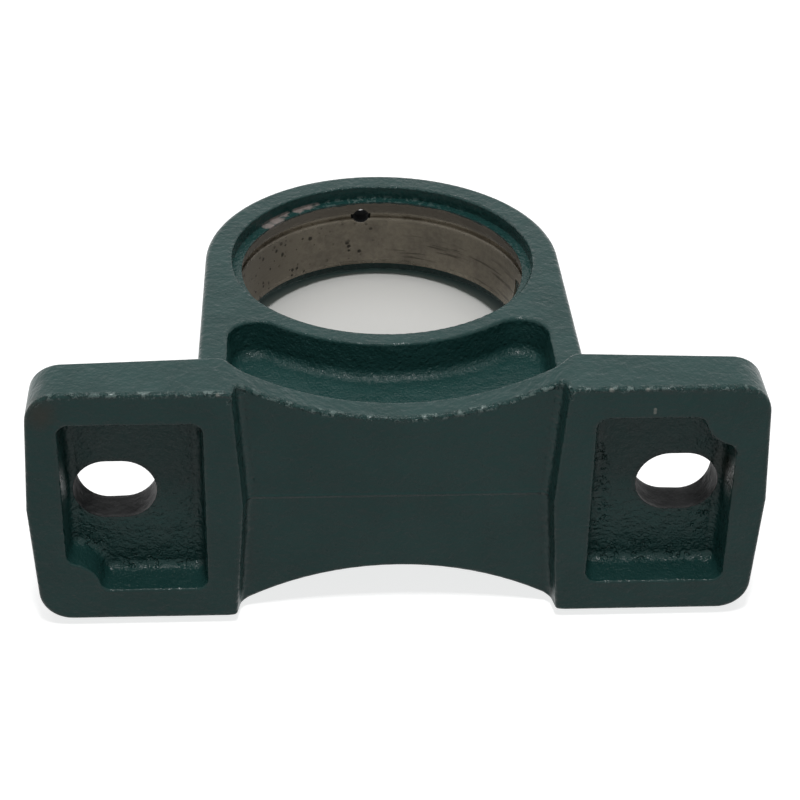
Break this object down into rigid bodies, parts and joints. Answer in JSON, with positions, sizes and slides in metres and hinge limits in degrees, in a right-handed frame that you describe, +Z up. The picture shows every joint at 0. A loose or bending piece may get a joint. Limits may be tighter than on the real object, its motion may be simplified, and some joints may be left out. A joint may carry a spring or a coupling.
{
  "type": "pillow block housing",
  "caption": "Upright cast housing for a ball bearing insert, with a spherical seat in a raised ring on legs and hollow slotted feet for bolting to a frame.",
  "frame": {"origin": "on the plane the feet stand on, midway between them and midway across them", "axes": "+Z up through the bore, +X along the base, +Y along the shaft towards the side with the loading slots"},
  "size_m": [0.19, 0.07, 0.1575],
  "materials": {
    "housing": "semi-gloss dark green enamel over sand-cast iron; the bore is bare turned iron"
  },
  "bodies": {
    "root": {"housing": "housing"}
  },
  "joints": []
}
